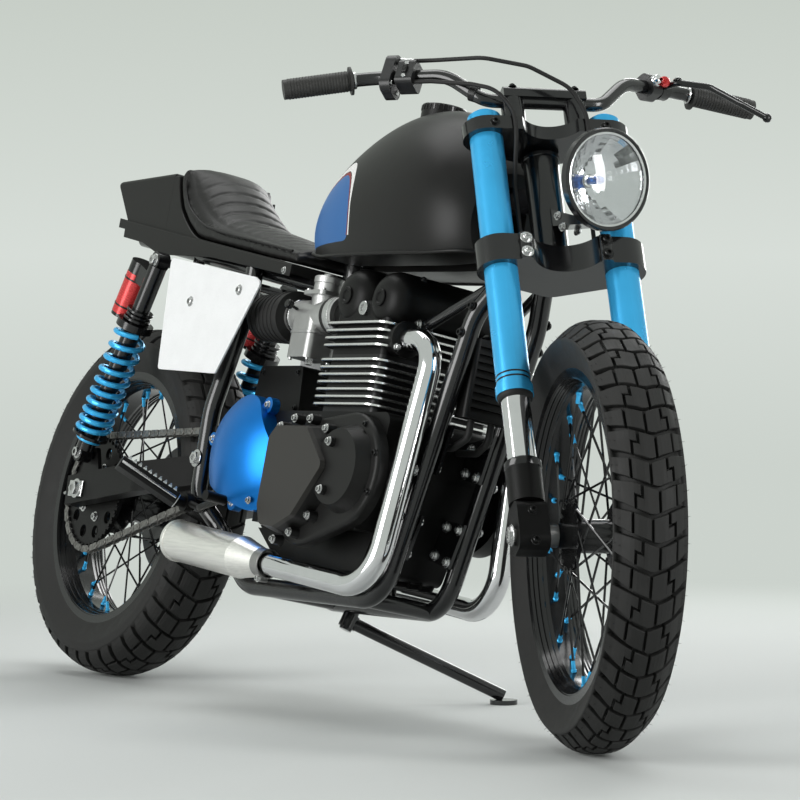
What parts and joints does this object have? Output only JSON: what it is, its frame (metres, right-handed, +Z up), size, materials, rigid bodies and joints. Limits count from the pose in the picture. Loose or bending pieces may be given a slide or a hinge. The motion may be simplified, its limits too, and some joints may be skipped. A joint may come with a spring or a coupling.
{
  "type": "street tracker motorcycle",
  "caption": "Parallel-twin flat-track style road motorcycle with wire wheels, upside-down fork, twin shocks and blank side plates, parked leaning on its side stand with the bars turned right.",
  "frame": {"origin": "on the floor midway between the two axles, on the motorcycle's centre plane before it leans", "axes": "+X forward along the wheelbase, +Y to the rider's left, +Z up from the floor"},
  "size_m": [2.1312, 0.8304, 1.0939],
  "materials": {
    "frame_black": "satin",
    "engine_black": "satin",
    "fin_metal": "satin",
    "tank_black": "satin",
    "blue_metal": "gloss",
    "black_metal": "satin",
    "steel": "satin",
    "polished": "gloss",
    "cast_alloy": "satin",
    "tyre": "matte",
    "rubber": "matte",
    "switch_plastic": "matte",
    "plate_white": "gloss",
    "leather": "satin",
    "glass": "gloss"
  },
  "bodies": {
    "chassis": {"frame_backbone": "frame_black", "cradle_tubes": "frame_black", "subframe": "frame_black", "swingarm": "frame_black", "rear_axle": "steel", "crankcase": "engine_black", "front_sprocket": "engine_black", "cylinder_block": "fin_metal", "cylinder_head": "engine_black", "clutch_cover": "engine_black", "sprocket_cover": "blue_metal", "alternator_cover": "engine_black", "carburettors": "cast_alloy", "air_filters": "rubber", "exhaust_headers": "polished", "mufflers": "polished", "oil_cooler": "fin_metal", "oil_lines": "rubber", "engine_plates": "frame_black", "electrics_box": "switch_plastic", "fuel_tank": "tank_black", "filler_cap": "tank_black", "tail_unit": "tank_black", "seat_pad": "leather", "number_plates": "plate_white", "shock_absorbers": "cast_alloy", "shock_springs": "blue_metal", "drive_chain": "steel", "footpegs": "steel", "foot_levers": "frame_black", "rear_caliper": "frame_black", "headlight_shell": "frame_black", "headlight_lens": "glass"},
    "stand": {"side_stand": "frame_black"},
    "steering": {"upper_clamp": "frame_black", "lower_clamp": "frame_black", "fork_tubes": "blue_metal", "stanchions": "polished", "axle_feet": "frame_black", "front_axle": "steel", "handlebar": "frame_black", "bar_clamp": "frame_black", "grips": "rubber", "bar_controls": "switch_plastic", "clutch_lever": "cast_alloy", "control_cables": "rubber"},
    "front_wheel": {"front_tyre": "tyre", "front_rim": "black_metal", "front_spokes": "black_metal", "front_hub": "black_metal"},
    "rear_wheel": {"rear_tyre": "tyre", "rear_rim": "black_metal", "rear_spokes": "black_metal", "rear_hub": "black_metal", "rear_sprocket": "engine_black", "rear_disc": "steel"}
  },
  "joints": [
    {"name": "rear_wheel_spin", "type": "hinge", "parent": "chassis", "child": "rear_wheel", "pos_m": [-0.74548, 0.06924, 0.32883], "axis": [0.0003, 0.9781, -0.2079], "continuous": true},
    {"name": "steering_turn", "type": "hinge", "parent": "chassis", "child": "steering", "pos_m": [0.85664, 0, 0.00548], "axis": [-0.4397, 0.1869, 0.8785], "range_deg": [-4, 50]},
    {"name": "front_wheel_spin", "type": "hinge", "parent": "steering", "child": "front_wheel", "pos_m": [0.74145, 0.05124, 0.32719], "axis": [0.3512, 0.936, -0.0233], "continuous": true},
    {"name": "side_stand_fold", "type": "hinge", "parent": "chassis", "child": "stand", "pos_m": [-0.05521, 0.11152, 0.144], "axis": [0.0596, 0.4658, 0.8829], "range_deg": [0, 110.08]}
  ]
}
